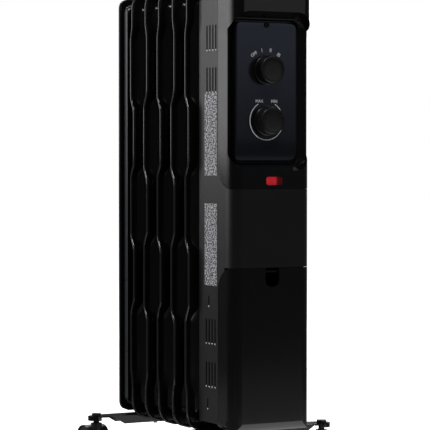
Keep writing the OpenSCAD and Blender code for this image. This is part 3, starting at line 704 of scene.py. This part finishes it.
def add_lip(points, faces, side, side_x, y, z):
    """Adds one low dome on the shell's side."""
    first = len(points)
    for ring in range(LIP_RINGS):
        tilt = math.pi / 2 * ring / LIP_RINGS
        for n in range(LIP_AROUND):
            turn = 2 * math.pi * n / LIP_AROUND
            points.append((side * (side_x - LIP_SUNK + LIP_PROUD * math.sin(tilt)),
                           y + LIP_R * math.cos(tilt) * math.cos(turn),
                           z + LIP_R * math.cos(tilt) * math.sin(turn)))
    points.append((side * (side_x - LIP_SUNK + LIP_PROUD), y, z))
    for ring in range(LIP_RINGS - 1):
        for n in range(LIP_AROUND):
            m = (n + 1) % LIP_AROUND
            a, b = first + ring * LIP_AROUND, first + (ring + 1) * LIP_AROUND
            faces.append((a + n, a + m, b + m, b + n))
    top = first + (LIP_RINGS - 1) * LIP_AROUND
    for n in range(LIP_AROUND):
        faces.append((top + n, top + (n + 1) % LIP_AROUND, first + LIP_RINGS * LIP_AROUND))
    faces.append(tuple(first + n for n in range(LIP_AROUND)))


build_slot_lips()

# ---------------------------------------------------------------- CAD pieces that keep their shape

for name in ("side_shell", "top_cap", "base_plate", "cord_bay"):
    soften(name, 0.5 * MM)
soften("storage_lid", 1.2 * MM, 3)
for name in ("front_bracket", "rear_bracket"):
    soften(name, 0.6 * MM, 3)
soften("control_moulding", 0.45 * MM, 2, 30.0)
for name in ("hood_fl", "hood_fr", "hood_rl", "hood_rr", "wheels_fl", "wheels_fr", "wheels_rl", "wheels_rr"):
    soften(name, 0.6 * MM, 2)
for name in ("lamp_lens", "stem_nuts", "cord_gland", "back_plate", "fin_7",
             "upper_collars", "lower_collars", "u_bolts", "wing_nuts", "caster_stems", "hinge_pins",
             "element_low", "element_high", "element_flange", "filler_plug"):
    smooth(nodes[name], 35.0)


# ---------------------------------------------------------------- stage, lights, camera

def stage_plane(name, half_x, half_y, x, y, height, material):
    mesh = bpy.data.meshes.new(name)
    mesh.from_pydata([(x - half_x, y - half_y, height), (x + half_x, y - half_y, height),
                      (x + half_x, y + half_y, height), (x - half_x, y + half_y, height)], [], [(0, 1, 2, 3)])
    plane = bpy.data.objects.new(name, mesh)
    scene.collection.objects.link(plane)
    plane.data.materials.append(material)
    return plane


def floor_material():
    material, tree, shader = new_material("pale_floor")
    tone = noise(tree, 6.0, 2.0)
    mix = tree.nodes.new("ShaderNodeMix")
    mix.data_type = "RGBA"
    mix.inputs["A"].default_value = (0.90, 0.90, 0.90, 1)
    mix.inputs["B"].default_value = (0.94, 0.94, 0.94, 1)
    tree.links.new(tone.outputs["Fac"], mix.inputs["Factor"])
    tree.links.new(mix.outputs["Result"], shader.inputs["Base Color"])
    shader.inputs["Roughness"].default_value = 0.9
    shader.inputs["Specular IOR Level"].default_value = 0.1
    shader.inputs["Emission Color"].default_value = (1, 1, 1, 1)
    shader.inputs["Emission Strength"].default_value = 1.0
    return material


floor = stage_plane("floor", 15.0, 15.0, 0.0, 0.0, 0.0, floor_material())
floor.visible_glossy = False
floor.visible_diffuse = False


def glow_plane(name, half_x, half_y, x, y, height, strength):
    """Light that the pale floor gives to glossy surfaces near it."""
    material, tree, shader = new_material(name)
    shader.inputs["Base Color"].default_value = (0, 0, 0, 1)
    shader.inputs["Roughness"].default_value = 1.0
    shader.inputs["Emission Color"].default_value = (1, 1, 1, 1)
    shader.inputs["Emission Strength"].default_value = strength
    plane = stage_plane(name, half_x, half_y, x, y, height, material)
    plane.visible_camera = False
    plane.visible_shadow = False


# Under the whole object, in front of the lid's rolled foot, and further out to the front right
glow_plane("floor_glow", 0.8, 0.8, 0.0, 0.0, 0.001, 0.16)
glow_plane("lid_glow", 0.25, 0.17, 0.12, -0.30, 0.002, 2.2)
glow_plane("front_glow", 0.34, 0.26, 0.45, -0.92, 0.002, 0.25)


def soft_light(name, place, target, size_x, size_y, power):
    data = bpy.data.lights.new(name, "AREA")
    data.shape = "RECTANGLE"
    data.size = size_x
    data.size_y = size_y
    data.energy = power
    lamp = bpy.data.objects.new(name, data)
    lamp.location = place
    lamp.rotation_euler = (Vector(target) - Vector(place)).to_track_quat("-Z", "Y").to_euler()
    scene.collection.objects.link(lamp)


# A wall of light to the left and behind, weak boxes to the front right and high in front, and
# boxes behind and above.
soft_light("left_wall", (-1.75, 1.80, 1.39), (0, 1.80, 1.39), 2.8, 1.98, 43)
soft_light("left_wall_front", (-1.75, 0.10, 1.42), (0, 0.10, 1.42), 0.6, 1.9, 2.6)
soft_light("front_right_box", (1.45, -2.65, 1.30), (0.05, -0.15, 1.30), 1.8, 1.4, 3.6)
soft_light("right_rear_box", (1.9, 1.6, 1.05), (0, 0, 1.05), 1.8, 1.2, 30)
soft_light("rear_fill", (0.9, 2.6, 2.3), (0, 0.1, 0.35), 1.6, 1.0, 22)
soft_light("high_front_box", (-0.45, -1.75, 2.35), (0, -0.15, 0.45), 0.7, 0.5, 17)
soft_light("top_box", (0.95, -0.15, 2.55), (0.1, -0.1, 0.4), 1.7, 1.1, 13)


def set_world():
    world = bpy.data.worlds.new("studio")
    scene.world = world
    world.use_nodes = True
    tree = world.node_tree
    back = tree.nodes["Background"]
    back.inputs["Color"].default_value = (1, 1, 1, 1)
    path = tree.nodes.new("ShaderNodeLightPath")
    strength = tree.nodes.new("ShaderNodeMapRange")
    strength.inputs["To Min"].default_value = WORLD_FILL
    strength.inputs["To Max"].default_value = WORLD_SEEN
    tree.links.new(path.outputs["Is Camera Ray"], strength.inputs["Value"])
    tree.links.new(strength.outputs["Result"], back.inputs["Strength"])


set_world()


def set_camera():
    data = bpy.data.cameras.new("camera")
    data.sensor_width = SENSOR
    data.lens = LENS
    camera = bpy.data.objects.new("camera", data)
    away = Vector((-math.sin(VIEW_AZIMUTH) * math.cos(VIEW_ELEVATION),
                   -math.cos(VIEW_AZIMUTH) * math.cos(VIEW_ELEVATION), math.sin(VIEW_ELEVATION)))
    camera.location = VIEW_TARGET + away * VIEW_DISTANCE
    camera.rotation_euler = (-away).to_track_quat("-Z", "Y").to_euler()
    scene.collection.objects.link(camera)
    scene.camera = camera


set_camera()
scene.view_settings.view_transform = "Standard"
